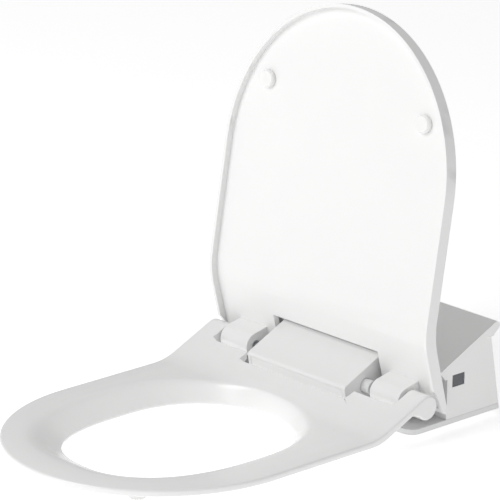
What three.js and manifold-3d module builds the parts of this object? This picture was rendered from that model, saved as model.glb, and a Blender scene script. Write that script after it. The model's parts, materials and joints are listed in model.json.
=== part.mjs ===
// Electric bidet seat: a slim seat ring and lid on a soft-close hinge line, in front of a wedge-shaped
// housing that holds the spray wand, the water path and the electronics.
// Millimetres. +Z is up, -Y points to the user's side, +X is to the right seen from the front.
// The origin lies on the ceramic, midway between the two fixing bolts, straight below the hinge axis.
// Everything but the feet and the mounting plate is drawn from the base plate's underside, then lifted
// by the feet's height, which lets the ring's inner lip reach down into the bowl's opening.
// The lid is drawn closed and then swung open about the hinge axis, so it meets the seat when it shuts.

import * as THREE from 'three';
import { mergeVertices } from 'three/addons/utils/BufferGeometryUtils.js';
import Module from 'manifold-3d';

const wasm = await Module();
wasm.setup();

// ---- driving dimensions ----

const footHeight = 8; // ceramic to the base plate's underside
const seatHalfWidth = 186.5;
const frontReach = 442; // hinge axis to the front tip
const noseDepth = 198; // the front half ellipse, from the straight sides to the tip
const hingeHeight = 35.5;
const seatEdgeHeight = 14; // top of the ring's outer edge
const seatSkirt = 7.8;
const crownRise = 3; // the ring's crest above its outer edge
const crownInset = 30;
const holeEdge = { half: 112, centre: -200, front: 159, back: 120, power: [2.9, 2.15] };
const funnelTop = { half: 142, centre: -222, front: 180, back: 148, power: [2.5, 2.3] };
const holeLip = [-7, -4.5]; // underside and top of the ring at the hole's edge
const rampAngle = 24; // of the seat's neck and of the lid's rear
const neckThickness = 9;
const barrelRadius = 15;
const barrelOffset = [2, -1.5]; // barrel centre from the hinge axis, in Y and Z

const lidGap = 1.5; // between the closed lid and the seat
const lidThickness = 16;
const lidPanel = 7.5;
const lidRim = 4.5;
const lidRear = 12.5;
const lidOpenAngle = 99;
const cutoutHalfWidth = 90;
const cutoutDepth = 42.5; // how far the cut-out reaches ahead of the hinge axis, lid closed
const knuckleRadius = 15.5;
const knuckleSpan = [106.5, 153.5];
const barrelClearance = 3.5; // lid skirt around the seat's barrels

const blockHalfWidth = 84;
const blockFront = -35;
const frontSlant = 2.8; // how far the block's front leans back towards its foot
const slantFoot = 23; // where the lean ends
const topRise = 21.5; // the sloped top plane straight above the hinge axis
const topAngle = 25;
const coverHalfWidth = 180;
const coverBand = 9.5;
const coverRear = 122;
const coverOverhang = 11;
const wallHalfWidth = 177;
const rearFoot = 134;
const wallThickness = 2.5;
const baseThickness = 6.7;
const baseFront = -16;
const baseCorner = 22;
const swingClearance = 2; // lid skirt to the housing

const pinRadius = 4;
const runningGap = 0.3;
const bushWall = 1.8;
const damperRadius = 8.5;
const damperSpan = [45, 97];

const wandRadius = 6;
const wandLength = 132;
const wandTilt = 28;
const wandTipY = -29; // the parked tip
const wandUnderLip = 0.5; // wand's top to the cover's lip, where they pass closest
const wandBore = 3.2;
const toothModule = 1;
const pinionTeeth = 14;
const pinionPlace = 32; // behind the wand's tip

const windowSize = [20, 14.5];
const windowPlace = [61.9, 32.66]; // Y, and how far below the top plane
const buttonSize = [22, 12];
const buttonCentre = [71, 24];
const buttonTravel = 4;
const rockerSize = [18, 12];
const rockerCentre = [96, 50];
const rockerTilt = 8;
const boltSpacing = 155;
const lidBumper = { x: 131.5, y: -328, radius: 11 };
const seatBumpers = [[95, -372], [150, -128]];
const seatBumperRadius = 10;
const bumperPocket = 2.5;

// ---- derived places ----

const deg = Math.PI / 180;
const rampSlope = Math.tan(rampAngle * deg);
const topSlope = Math.tan(topAngle * deg);
const seatBottom = seatEdgeHeight - seatSkirt;
const noseStart = -(frontReach - noseDepth);
const hingeLine = [0, hingeHeight];
const barrelCentre = [barrelOffset[0], hingeHeight + barrelOffset[1]];
const neckTangent = [
  barrelCentre[0] - barrelRadius * Math.sin(rampAngle * deg),
  barrelCentre[1] + barrelRadius * Math.cos(rampAngle * deg),
];
// Height of a line parallel to the neck's top, raised square to it.
const rampZ = (y, raised = 0) =>
  neckTangent[1] + (y - neckTangent[0]) * rampSlope + raised / Math.cos(rampAngle * deg);
// Where such a line passes a given height.
const rampY = (z, raised = 0) => neckTangent[0] + (z - rampZ(neckTangent[0], raised)) / rampSlope;
const topZ = (y) => hingeHeight + topRise + y * topSlope;
const lidTopRaise = lidGap + lidThickness;
const lidBottomZ = seatEdgeHeight + lidGap;
const lidTopZ = lidBottomZ + lidThickness;
const lidInnerRaise = lidTopRaise - lidPanel;
const lidInnerZ = lidTopZ - lidPanel;
const swingRadius = Math.hypot(lidRear, rampZ(lidRear, lidTopRaise) - hingeHeight) + swingClearance;
const wallFront = swingRadius;
const baseTop = baseThickness + runningGap;
const coverLipZ = topZ(wallFront) - coverBand - 8.5;
const windowCentre = [windowPlace[0], topZ(windowPlace[0]) - windowPlace[1]];
const wandSlope = Math.tan(wandTilt * deg);
const wandTip = [
  wandTipY,
  coverLipZ - wallThickness - wandUnderLip - (wallFront - wandTipY) * wandSlope
    - wandRadius / Math.cos(wandTilt * deg),
];
const pitchRadius = (toothModule * pinionTeeth) / 2;
const apronEdge = wandRadius + 0.35 + pitchRadius + 14.5; // outer edge of the motor's shelf and apron
const boreRadius = pinRadius + runningGap;
const blockNotch = blockHalfWidth + 8;
const knuckleNotch = knuckleSpan[1] + barrelClearance;

// ---- materials ----

const material = (color, roughness = 0.4, metalness = 0) =>
  new THREE.MeshStandardMaterial({ color, roughness, metalness });
const white = material(0xf2f3f4, 0.3);
const matteWhite = material(0xe6e8ea, 0.55);
const darkLens = material(0x2b2c2e, 0.2);
const rubber = material(0xdcdcda, 0.8);
const steel = material(0xb9bcc0, 0.3, 1);
const grey = material(0x8b8f94, 0.6);
const black = material(0x26282b, 0.6);
const brass = material(0xc8a24c, 0.35, 1);
const boardGreen = material(0x1f6b43, 0.5);
const hoseBlue = material(0x9fb7c9, 0.5);

// ---- building blocks ----

// A closed three.js geometry as a solid that can be joined and cut.
function solid(geometry) {
  const bare = geometry.index ? geometry.toNonIndexed() : geometry.clone();
  bare.deleteAttribute('normal');
  bare.deleteAttribute('uv');
  const merged = mergeVertices(bare, 1e-4);
  const corners = merged.index.array;
  const faces = [];
  for (let i = 0; i < corners.length; i += 3) {
    const [a, b, c] = corners.slice(i, i + 3);
    if (a !== b && b !== c && c !== a) faces.push(a, b, c);
  }
  const vertProperties = merged.attributes.position.array;
  return new wasm.Manifold(new wasm.Mesh({ numProp: 3, vertProperties, triVerts: new Uint32Array(faces) }));
}

const join = (...parts) => parts.reduce((whole, part) => whole.add(part));
const cut = (whole, ...tools) => tools.reduce((left, tool) => left.subtract(tool), whole);

function box([x0, x1], [y0, y1], [z0, z1]) {
  const geometry = new THREE.BoxGeometry(x1 - x0, y1 - y0, z1 - z0);
  return solid(geometry.translate((x0 + x1) / 2, (y0 + y1) / 2, (z0 + z1) / 2));
}

// A round bar along an axis; centre holds its other two coordinates in X, Y, Z order.
function rod(axis, [start, end], [p, q], radius, sides = 20, endRadius = radius) {
  const geometry = new THREE.CylinderGeometry(endRadius, radius, end - start, sides);
  const middle = (start + end) / 2;
  if (axis === 'x') geometry.rotateZ(-Math.PI / 2).translate(middle, p, q);
  else if (axis === 'z') geometry.rotateX(Math.PI / 2).translate(p, q, middle);
  else geometry.translate(p, middle, q);
  return solid(geometry);
}

const tube = (axis, span, centre, outer, inner, sides = 20) =>
  cut(rod(axis, span, centre, outer, sides), rod(axis, [span[0] - 1, span[1] + 1], centre, inner, sides));

function polygon(points) {
  return new THREE.Shape(points.map(([a, b]) => new THREE.Vector2(a, b)));
}

function roundedRect([a0, a1], [b0, b1], r) {
  const shape = new THREE.Shape();
  shape.moveTo(a0 + r, b0).lineTo(a1 - r, b0).absarc(a1 - r, b0 + r, r, -Math.PI / 2, 0);
  shape.lineTo(a1, b1 - r).absarc(a1 - r, b1 - r, r, 0, Math.PI / 2);
  shape.lineTo(a0 + r, b1).absarc(a0 + r, b1 - r, r, Math.PI / 2, Math.PI);
  shape.lineTo(a0, b0 + r).absarc(a0 + r, b0 + r, r, Math.PI, 1.5 * Math.PI);
  return shape;
}

// A flat outline pushed along an axis. Along x the outline is in Y and Z, along z in X and Y.
function prism(axis, shape, [start, end], curveSegments = 8) {
  const settings = { depth: end - start, bevelEnabled: false, curveSegments };
  const geometry = new THREE.ExtrudeGeometry(shape, settings);
  geometry.translate(0, 0, start);
  if (axis === 'x') {
    const turn = new THREE.Matrix4().makeBasis(
      new THREE.Vector3(0, 1, 0), new THREE.Vector3(0, 0, 1), new THREE.Vector3(1, 0, 0));
    geometry.applyMatrix4(turn);
  }
  return solid(geometry);
}

// A closed solid through a stack of convex outlines with equal point counts, lowest first.
function loft(layers) {
  const count = layers[0].points.length;
  const last = (layers.length - 1) * count;
  const positions = layers.flatMap(({ points, z }) => points.flatMap((p) => [p.x, p.y, z]));
  const faces = [];
  for (let k = 1; k < count - 1; k++) faces.push(0, k + 1, k, last, last + k, last + k + 1);
  for (let ring = 0; ring < last; ring += count) {
    for (let k = 0; k < count; k++) {
      const a = ring + k;
      const b = ring + ((k + 1) % count);
      faces.push(a, b, b + count, a, b + count, a + count);
    }
  }
  const geometry = new THREE.BufferGeometry();
  geometry.setAttribute('position', new THREE.Float32BufferAttribute(positions, 3));
  return solid(geometry.setIndex(faces));
}

// A bent pipe or wire through points, as a solid bar.
function bentBar(points, radius, steps = 24, sides = 8) {
  const path = new THREE.CatmullRomCurve3(points.map((p) => new THREE.Vector3(...p)), false, 'centripetal');
  const section = new THREE.Shape();
  section.absarc(0, 0, radius, 0, 2 * Math.PI);
  const options = { steps, extrudePath: path, curveSegments: sides, bevelEnabled: false };
  return solid(new THREE.ExtrudeGeometry(section, options));
}

const mirrored = (side, [near, far]) => (side > 0 ? [near, far] : [-far, -near]);

// ---- scene graph ----

const group = new THREE.Group();
const unit = new THREE.Group(); // all that stands on the feet
unit.position.z = footHeight;
group.add(unit);

function addNode(parent, name, body, look) {
  const { vertProperties, triVerts } = body.getMesh();
  const geometry = new THREE.BufferGeometry();
  geometry.setAttribute('position', new THREE.Float32BufferAttribute(vertProperties, 3));
  geometry.setIndex([...triVerts]);
  const flat = geometry.toNonIndexed();
  flat.computeVertexNormals();
  const mesh = new THREE.Mesh(flat, look);
  mesh.name = name;
  parent.add(mesh);
  return mesh;
}

// ---- outlines shared by the seat and the lid ----

// The D shape seen from above, drawn in by an inset, closed by a straight line at rear.
function dOutline(inset, rear) {
  const half = seatHalfWidth - inset;
  const shape = new THREE.Shape();
  shape.moveTo(half, rear).lineTo(-half, rear).lineTo(-half, noseStart);
  shape.absellipse(0, noseStart, half, noseDepth - inset, Math.PI, 2 * Math.PI);
  return shape;
}

// An egg-shaped outline, squarer towards the front, widened by an offset.
function eggPoints({ half, centre, front, back, power }, offset = 0, count = 56) {
  return Array.from({ length: count }, (_, k) => {
    const angle = (2 * Math.PI * k) / count;
    const [c, s] = [Math.cos(angle), Math.sin(angle)];
    const n = s > 0 ? power[1] : power[0];
    const stretch = (Math.abs(c) ** n + Math.abs(s) ** n) ** (-1 / n);
    const reach = (s > 0 ? back : front) + offset;
    return new THREE.Vector2((half + offset) * c * stretch, centre + reach * s * stretch);
  });
}

const wandToWorld = new THREE.Matrix4()
  .makeRotationX(wandTilt * deg)
  .setPosition(0, wandTip[0], wandTip[1]);
// Turns a solid drawn along the wand, tip at the origin and tail towards +Y, into its place.
const alongWand = (body) => body.transform(wandToWorld.elements);

// ---- seat ----

function seatNeck() {
  const [cy, cz] = barrelCentre;
  const underY = -22;
  const shape = new THREE.Shape();
  shape.moveTo(rampY(seatEdgeHeight), seatEdgeHeight).lineTo(...neckTangent);
  shape.absarc(cy, cz, barrelRadius, (90 + rampAngle) * deg, -145 * deg, true);
  shape.lineTo(underY, rampZ(underY, -neckThickness));
  shape.lineTo(rampY(seatBottom, -neckThickness), seatBottom);
  shape.lineTo(rampY(seatBottom, -neckThickness) - 12, seatBottom);
  shape.lineTo(rampY(seatBottom, -neckThickness) - 12, seatEdgeHeight);
  return prism('x', shape, [-seatHalfWidth, seatHalfWidth], 14);
}

function seatRing() {
  const neckStart = rampY(seatEdgeHeight);
  const crestZ = seatEdgeHeight + crownRise;
  const slab = prism('z', dOutline(0, neckStart + 4), [seatBottom, seatEdgeHeight], 28);
  const crown = loft([
    { points: dOutline(3, neckStart + 1).getPoints(28), z: seatEdgeHeight - 1 },
    { points: dOutline(4, neckStart + 1).getPoints(28), z: seatEdgeHeight + 0.4 },
    { points: dOutline(crownInset, rampY(crestZ) + 1).getPoints(28), z: crestZ },
  ]);
  const lip = loft([
    { points: eggPoints(holeEdge, 3), z: holeLip[0] },
    { points: eggPoints(funnelTop), z: seatBottom + 0.1 },
  ]);
  const funnel = loft([
    { points: eggPoints(holeEdge, -2), z: holeLip[1] - 1 },
    { points: eggPoints(holeEdge), z: holeLip[1] },
    { points: eggPoints(funnelTop), z: crestZ + 0.01 },
  ]);
  const hole = loft([{ points: eggPoints(holeEdge), z: -20 }, { points: eggPoints(holeEdge), z: 40 }]);
  const body = cut(
    join(slab, crown, lip, seatNeck()),
    funnel,
    hole,
    box([-blockNotch, blockNotch], [blockFront - 7, 40], [0, 90]),
    box([-knuckleNotch, knuckleNotch], [-27.5, 40], [0, 90]),
  );
  const pockets = [-1, 1].flatMap((side) => {
    const bore = side > 0 ? boreRadius + bushWall + 0.15 : boreRadius;
    const span = [seatBottom - 5, seatBottom + bumperPocket];
    return [
      rod('x', mirrored(side, [knuckleNotch - 2, seatHalfWidth - 7]), hingeLine, bore),
      ...seatBumpers.map(([x, y]) => rod('z', span, [side * x, y], seatBumperRadius + runningGap)),
    ];
  });
  return cut(body, ...pockets);
}

function seatBumper(x, y) {
  const top = seatBottom + bumperPocket - runningGap;
  return join(
    rod('z', [-footHeight, 1.5 - footHeight], [x, y], seatBumperRadius - 1.5, 20, seatBumperRadius),
    rod('z', [1.5 - footHeight, top], [x, y], seatBumperRadius),
  );
}

// A hinge pin with a flat along the part that drives the keyed piece.
function hingePin(side, keyed) {
  const start = damperSpan[0] + 17;
  const pin = rod('x', mirrored(side, [start, seatHalfWidth - 8]), hingeLine, pinRadius);
  const flat = box(mirrored(side, keyed), [-5, 5], [hingeHeight + pinRadius * 0.7, hingeHeight + 6]);
  return cut(pin, flat);
}

const keyedBore = (side, span) =>
  cut(
    rod('x', mirrored(side, span), hingeLine, boreRadius),
    box(mirrored(side, span), [-6, 6], [hingeHeight + pinRadius * 0.7 + runningGap, hingeHeight + 7]),
  );

const seatGroup = new THREE.Group();
unit.add(seatGroup);
addNode(seatGroup, 'seat_ring', seatRing(), white);
for (const [row, [x, y]] of seatBumpers.entries()) {
  const place = row === 0 ? 'front' : 'rear';
  addNode(seatGroup, `seat_bumper_${place}_left`, seatBumper(-x, y), rubber);
  addNode(seatGroup, `seat_bumper_${place}_right`, seatBumper(x, y), rubber);
}
addNode(seatGroup, 'seat_hinge_pin', hingePin(-1, [knuckleNotch - 1, seatHalfWidth - 7]), steel);
addNode(
  seatGroup,
  'seat_hinge_bush',
  tube('x', [knuckleNotch + 0.5, seatHalfWidth - 7.5], hingeLine, boreRadius + bushWall, boreRadius),
  grey,
);

// ---- lid, drawn closed ----

// The lid's side profile: straight over the ring, then up the ramp to its rear edge.
function lidProfile() {
  const clearRadius = Math.hypot(...barrelOffset) + barrelRadius + barrelClearance - lidGap;
  const foot = lidGap + rampZ(0) * Math.cos(rampAngle * deg) - hingeHeight * Math.cos(rampAngle * deg);
  const start = (90 + rampAngle) * deg + Math.acos(Math.min(1, foot / clearRadius));
  const end = 118 * deg;
  const shape = new THREE.Shape();
  shape.moveTo(-frontReach - 5, lidBottomZ).lineTo(rampY(lidBottomZ, lidGap), lidBottomZ);
  shape.lineTo(clearRadius * Math.cos(start), hingeHeight + clearRadius * Math.sin(start));
  shape.absarc(0, hingeHeight, clearRadius, start, end, true);
  shape.lineTo(lidRear - 3, rampZ(lidRear - 3, lidTopRaise) - 9);
  shape.lineTo(lidRear, rampZ(lidRear, lidTopRaise));
  shape.lineTo(rampY(lidTopZ, lidTopRaise), lidTopZ).lineTo(-frontReach - 5, lidTopZ);
  return shape;
}

function lidCavity() {
  const rear = lidRear - 8;
  const profile = polygon([
    [-frontReach - 5, 0],
    [rear, 0],
    [rear, rampZ(rear, lidInnerRaise)],
    [rampY(lidInnerZ, lidInnerRaise), lidInnerZ],
    [-frontReach - 5, lidInnerZ],
  ]);
  const half = seatHalfWidth - lidRim;
  return prism('x', profile, [-half, half]).intersect(prism('z', dOutline(lidRim, lidRear), [-5, 90], 28));
}

// A rounded lug round the hinge axis that grows out of the lid's underside.
function knuckle(side) {
  const front = [-23, rampZ(-23, lidInnerRaise) + 2];
  const rear = [lidRear - 5, rampZ(lidRear - 5, lidInnerRaise) + 2];
  const touch = ([y, z], turn) => {
    const away = Math.hypot(y, z - hingeHeight);
    return Math.atan2(z - hingeHeight, y) + turn * Math.acos(knuckleRadius / away);
  };
  const shape = new THREE.Shape();
  shape.moveTo(...rear).lineTo(...front);
  shape.absarc(0, hingeHeight, knuckleRadius, touch(front, 1), touch(rear, -1) + 2 * Math.PI);
  return prism('x', shape, mirrored(side, knuckleSpan), 16);
}

function lidShell() {
  const outer = prism('x', lidProfile(), [-seatHalfWidth, seatHalfWidth], 10);
  let body = outer.intersect(prism('z', dOutline(0, lidRear + 5), [-5, 120], 28));
  body = cut(body, lidCavity());
  body = cut(body, box([-cutoutHalfWidth, cutoutHalfWidth], [-cutoutDepth, lidRear + 5], [0, 120]));
  body = join(body, knuckle(-1), knuckle(1));
  const through = [knuckleSpan[0] - 1, knuckleSpan[1] + 1];
  const bushBore = boreRadius + bushWall + 0.15;
  return cut(body, keyedBore(1, through), rod('x', mirrored(-1, through), hingeLine, bushBore));
}

const crestAtBumper = seatEdgeHeight + crownRise;

const lidGroup = new THREE.Group();
lidGroup.position.set(0, 0, hingeHeight);
lidGroup.rotation.x = -lidOpenAngle * deg;
const lidDrawing = new THREE.Group();
lidDrawing.position.set(0, 0, -hingeHeight);
lidGroup.add(lidDrawing);
unit.add(lidGroup);
addNode(lidDrawing, 'lid_shell', lidShell(), white);
for (const [side, label] of [[-1, 'left'], [1, 'right']]) {
  const { x, y, radius } = lidBumper;
  const pad = join(
    rod('z', [crestAtBumper + runningGap, crestAtBumper + 2], [side * x, y], radius - 1.5, 24, radius),
    rod('z', [crestAtBumper + 2, lidInnerZ - runningGap], [side * x, y], radius, 24),
  );
  addNode(lidDrawing, `lid_bumper_${label}`, pad, rubber);
}
addNode(lidDrawing, 'lid_hinge_pin', hingePin(1, [knuckleSpan[0] - 3, knuckleSpan[1] + 1]), steel);
addNode(
  lidDrawing,
  'lid_hinge_bush',
  tube('x', [-knuckleSpan[1], -knuckleSpan[0]], hingeLine, boreRadius + bushWall, boreRadius),
  grey,
);

// ---- housing ----

const rearSlope = (rearFoot - (coverRear - 6)) / (topZ(coverRear) - 18);
const rearWallY = (z) => rearFoot - z * rearSlope;
const wallTopZ = (y) => topZ(y) - coverBand - runningGap;
const rearWallTop = topZ(coverRear) - 18;
const coverStepY = rearWallY(rearWallTop) - wallThickness - 3; // the cover's rear edge drops behind this

function housingProfile(inset) {
  const front = wallFront + runningGap + inset;
  const rear = (z) => rearWallY(z) - inset;
  const stretch = inset > 0 ? 30 : 0; // the inner tool runs out of the top and the bottom
  const stepY = coverStepY - runningGap;
  return polygon([
    [front, baseTop - stretch],
    [rear(baseTop), baseTop - stretch],
    [rear(rearWallTop), rearWallTop],
    ...(inset > 0
      ? [[rear(rearWallTop), wallTopZ(stepY) + stretch]]
      : [[stepY, rearWallTop], [stepY, wallTopZ(stepY)]]),
    [front, wallTopZ(front) + stretch],
  ]);
}

const screwPlaces = [-1, 1].flatMap((side) => [51, 114].map((y) => [side * (wallHalfWidth - 7.5), y]));

function housingShell() {
  const inner = wallHalfWidth - wallThickness;
  let body = cut(
    prism('x', housingProfile(0), [-wallHalfWidth, wallHalfWidth]),
    prism('x', housingProfile(wallThickness), [-inner, inner]),
    box([-blockHalfWidth + 1, blockHalfWidth - 1], [wallFront - 5, wallFront + wallThickness + 2], [0, 120]),
  );
  for (const [x, y] of screwPlaces) {
    const post = join(
      rod('z', [baseTop, 34], [x, y], 5, 16),
      box(x < 0 ? [-inner - 1, x] : [x, inner + 1], [y - 3, y + 3], [baseTop, 34]),
    );
    body = cut(join(body, post), rod('z', [0, 26], [x, y], 2.1, 12));
  }
  const [wy, wz] = windowSize.map((size) => size / 2 + runningGap);
  const windowHole = box([inner - 1, wallHalfWidth + 1],
    [windowCentre[0] - wy, windowCentre[0] + wy], [windowCentre[1] - wz, windowCentre[1] + wz]);
  const [by, bz] = buttonSize.map((size) => size / 2 + runningGap);
  const buttonHole = prism('x', roundedRect([buttonCentre[0] - by, buttonCentre[0] + by],
    [buttonCentre[1] - bz, buttonCentre[1] + bz], bz - 0.01), [-wallHalfWidth - 1, -inner + 1]);
  const [ry, rz] = rockerSize.map((size) => size / 2 + 2.5);
  const rockerHole = box([-wallHalfWidth - 1, -inner + 1],
    [rockerCentre[0] - ry, rockerCentre[0] + ry], [rockerCentre[1] - rz, rockerCentre[1] + rz]);
  const inletHole = rod('y', [105, 140], inletPlace, inletRadius + 1.5 + runningGap, 24);
  const glandHole = rod('y', [105, 140], glandPlace, glandRadius + runningGap, 20);
  return cut(body, windowHole, buttonHole, rockerHole, inletHole, glandHole);
}

const inletPlace = [-132, 24];
const inletRadius = 10.4; // half-inch thread
const glandPlace = [-70, 24];
const glandRadius = 7;

function topCover() {
  const lipFront = Math.sqrt(swingRadius ** 2 - (coverLipZ - hingeHeight) ** 2);
  const rise = topRise;
  const a = 1 + topSlope ** 2;
  const b = rise * topSlope;
  const frontTop = (-b + Math.sqrt(b * b - a * (rise ** 2 - swingRadius ** 2))) / a;
  const shape = new THREE.Shape();
  shape.moveTo(wallFront, coverLipZ).lineTo(lipFront, coverLipZ);
  const angleTo = (y, z) => Math.atan2(z - hingeHeight, y);
  shape.absarc(0, hingeHeight, swingRadius, angleTo(lipFront, coverLipZ), angleTo(frontTop, topZ(frontTop)));
  shape.lineTo(coverRear, topZ(coverRear));
  shape.lineTo(coverRear + 5, topZ(coverRear) - 3);
  shape.lineTo(coverRear + 5.5, topZ(coverRear) - 8);
  shape.lineTo(coverRear + 5.5 - coverOverhang, rearWallTop + runningGap);
  shape.lineTo(coverStepY, rearWallTop + runningGap);
  shape.lineTo(coverStepY, topZ(coverStepY) - coverBand);
  shape.lineTo(wallFront, topZ(wallFront) - coverBand);
  const pocket = polygon([
    [wallFront + 4, topZ(wallFront + 4) - coverBand - 6],
    [coverRear - 12, topZ(coverRear - 12) - coverBand - 6],
    [coverRear - 12, topZ(coverRear - 12) - 3],
    [wallFront + 4, topZ(wallFront + 4) - 3],
  ]);
  const inner = wallHalfWidth - wallThickness - runningGap;
  const slab = prism('x', shape, [-coverHalfWidth, coverHalfWidth], 8);
  let body = cut(slab, prism('x', pocket, [2.5 - inner, inner - 2.5]));
  for (const side of [-1, 1]) {
    for (const y of [70, 100]) {
      const under = topZ(y) - coverBand;
      body = body.add(box(mirrored(side, [inner - 2, inner]), [y - 5, y + 5], [under - 12, under + 4.5]));
    }
  }
  return cut(body, blockTool(runningGap));
}

// The centre block's side profile up to the housing, grown by a margin.
function blockProfile(margin) {
  const rear = wallFront - runningGap + margin;
  const top = (y) => topZ(y) + margin;
  const arc = swingRadius - runningGap + margin;
  const lip = coverLipZ - runningGap + margin;
  const lipFront = Math.sqrt(Math.max(0, arc ** 2 - (lip - hingeHeight) ** 2));
  const rise = top(0) - hingeHeight;
  const a = 1 + topSlope ** 2;
  const b = rise * topSlope;
  const topEnd = (-b + Math.sqrt(b * b - a * (rise ** 2 - arc ** 2))) / a;
  const shape = new THREE.Shape();
  shape.moveTo(blockFront + frontSlant + 2.5 - margin, baseTop - margin);
  shape.lineTo(rear, baseTop - margin).lineTo(rear, lip).lineTo(lipFront, lip);
  const angleTo = (y, z) => Math.atan2(z - hingeHeight, y);
  shape.absarc(0, hingeHeight, arc, angleTo(lipFront, lip), angleTo(topEnd, top(topEnd)));
  shape.lineTo(blockFront + 1.5, top(blockFront + 1.5));
  shape.lineTo(blockFront - margin, top(blockFront) - 3);
  shape.lineTo(blockFront + frontSlant - margin, slantFoot);
  return shape;
}

const blockTool = (margin) =>
  prism('x', blockProfile(margin), [-blockHalfWidth - margin, blockHalfWidth + margin], 8);

// The flap's opening in the block's front, measured on the slanted front face.
const flapTop = topZ(blockFront) - 4.2;
const flapBottom = 24.8;
const flapDip = 1; // room for the flap's inner edge as it swings about its outer top edge
const flapHalfWidth = blockHalfWidth - 5;
const slantTop = topZ(blockFront) - 3;
const frontFaceY = (z) => blockFront + (frontSlant * (slantTop - z)) / (slantTop - slantFoot);

function blockCover() {
  const half = blockHalfWidth - wallThickness;
  const lift = wallThickness / Math.cos(topAngle * deg);
  const roomTop = (y) => topZ(y) - lift;
  const room = polygon([
    [blockFront + frontSlant + 2.5 + wallThickness, -5],
    [wallFront + 5, -5],
    [wallFront + 5, coverLipZ - wallThickness],
    [Math.sqrt((swingRadius - 3) ** 2 - (coverLipZ - 3 - hingeHeight) ** 2) - 1, coverLipZ - wallThickness],
    [24, roomTop(24) - 2],
    [20, roomTop(20)],
    [blockFront + 5, roomTop(blockFront + 5)],
    [blockFront + 3, roomTop(blockFront + 3) - 5],
    [blockFront + frontSlant + wallThickness, slantFoot],
  ]);
  let body = cut(
    blockTool(0),
    prism('x', room, [-half, half]),
    box([-flapHalfWidth - runningGap, flapHalfWidth + runningGap], [blockFront - 5, blockFront + 12],
      [flapBottom - flapDip, flapTop + runningGap]),
    alongWand(rod('y', [-20, 12], [0, 0], wandRadius + 2.2, 20)),
  );
  for (const side of [-1, 1]) {
    const span = mirrored(side, [blockHalfWidth - 6, blockHalfWidth + 2]);
    body = cut(body, rod('x', span, hingeLine, damperRadius + runningGap, 24));
  }
  return body;
}

const latchSpan = [-wallHalfWidth + wallThickness + 20, -150];

function basePlate() {
  const w = wallHalfWidth;
  const plan = new THREE.Shape();
  plan.moveTo(-w, rearFoot + 5).lineTo(-w, baseFront + baseCorner - 8);
  plan.quadraticCurveTo(-w, baseFront, -w + baseCorner, baseFront).lineTo(w - baseCorner, baseFront);
  plan.quadraticCurveTo(w, baseFront, w, baseFront + baseCorner - 8).lineTo(w, rearFoot + 5);
  const side = polygon([
    [baseFront - 5, 0], [rearFoot, 0], [rearWallY(baseThickness), baseThickness], [baseFront - 5, baseThickness],
  ]);
  let body = prism('z', plan, [0, baseThickness]).intersect(prism('x', side, [-w - 1, w + 1]));
  for (const s of [-1, 1]) {
    for (const x of [damperSpan[0] + 3.5, damperSpan[0] + 18.5]) {
      const saddle = box(mirrored(s, [x, x + 4]), [-10, 10], [baseThickness - 1, hingeHeight - 2]);
      body = body.add(saddle);
    }
    body = cut(
      body,
      rod('x', mirrored(s, [damperSpan[0] - 1, damperSpan[1]]), hingeLine, damperRadius + runningGap, 24),
      rod('z', [-1, baseThickness + 1], [(s * boltSpacing) / 2, mountPlateY], 9),
      ...footRows.map((y) => rod('z', [-1, 3.4], [s * footX, y], footRadius / 2 + 0.15, 16)),
    );
  }
  // Room for the wand, its seal and the motor's apron, should they reach down to the plate.
  body = cut(
    body,
    alongWand(rod('y', [-5, 30], [0, 0], wandRadius + 2 * runningGap)),
    alongWand(rod('y', [8.7, 11.9], [0, 0], wandRadius + 2.9)),
    alongWand(box([7.7, apronEdge + 0.3], [pinionPlace - 11.3, pinionPlace + 11.3], [-12.3, 4])),
  );
  for (const place of boardPosts) {
    body = body.add(rod('z', [baseThickness - 1, boardZ - runningGap], place, 3, 12));
  }
  for (const [x, y] of screwPlaces) {
    body = cut(body, rod('z', [-1, baseThickness + 1], [x, y], 2.2, 12), rod('z', [-1, 3.4], [x, y], 4.3, 16));
  }
  const [px, py] = [mountPlateHalf[0] + runningGap, mountPlateHalf[1] + runningGap];
  return cut(body, box([-px, px], [mountPlateY - py, mountPlateY + py], [-1, mountPlateZ + runningGap]));
}

const footRadius = 9;
const footX = 138;
const footRows = [22, 98];
const mountPlateHalf = [92, 15];
const mountPlateY = 0;
const mountPlateZ = 3;
const boardDrop = 22.3; // the board under the sloped top at its front edge
const boardX = [33, 158];
const boardY = [50, 110];
const boardZ = topZ(boardY[0]) - boardDrop;
const boardPosts = boardX.flatMap((x, i) => boardY.map((y, j) => [x + (i ? -4 : 4), y + (j ? -4 : 4)]));

function mountingPlate() {
  const [hx, hy] = mountPlateHalf;
  const top = footHeight + mountPlateZ;
  let body = prism('z', roundedRect([-hx, hx], [mountPlateY - hy, mountPlateY + hy], 5), [0, top], 4);
  for (const side of [-1, 1]) {
    const boltX = (side * boltSpacing) / 2;
    const slot = roundedRect([boltX - 7, boltX + 7], [mountPlateY - 4.3, mountPlateY + 4.3], 4.29);
    body = cut(body, prism('z', slot, [-1, top + 1], 6));
  }
  return body;
}

function damper(side) {
  const body = rod('x', mirrored(side, damperSpan), hingeLine, damperRadius, 24);
  const collarSpan = mirrored(side, [damperSpan[0] + 8, damperSpan[0] + 18]);
  const collar = rod('x', collarSpan, hingeLine, damperRadius + 1.4, 24);
  const bore = rod('x', mirrored(side, [damperSpan[0] + 15, damperSpan[1] + 1]), hingeLine, boreRadius);
  return cut(join(body, collar), bore);
}

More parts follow.
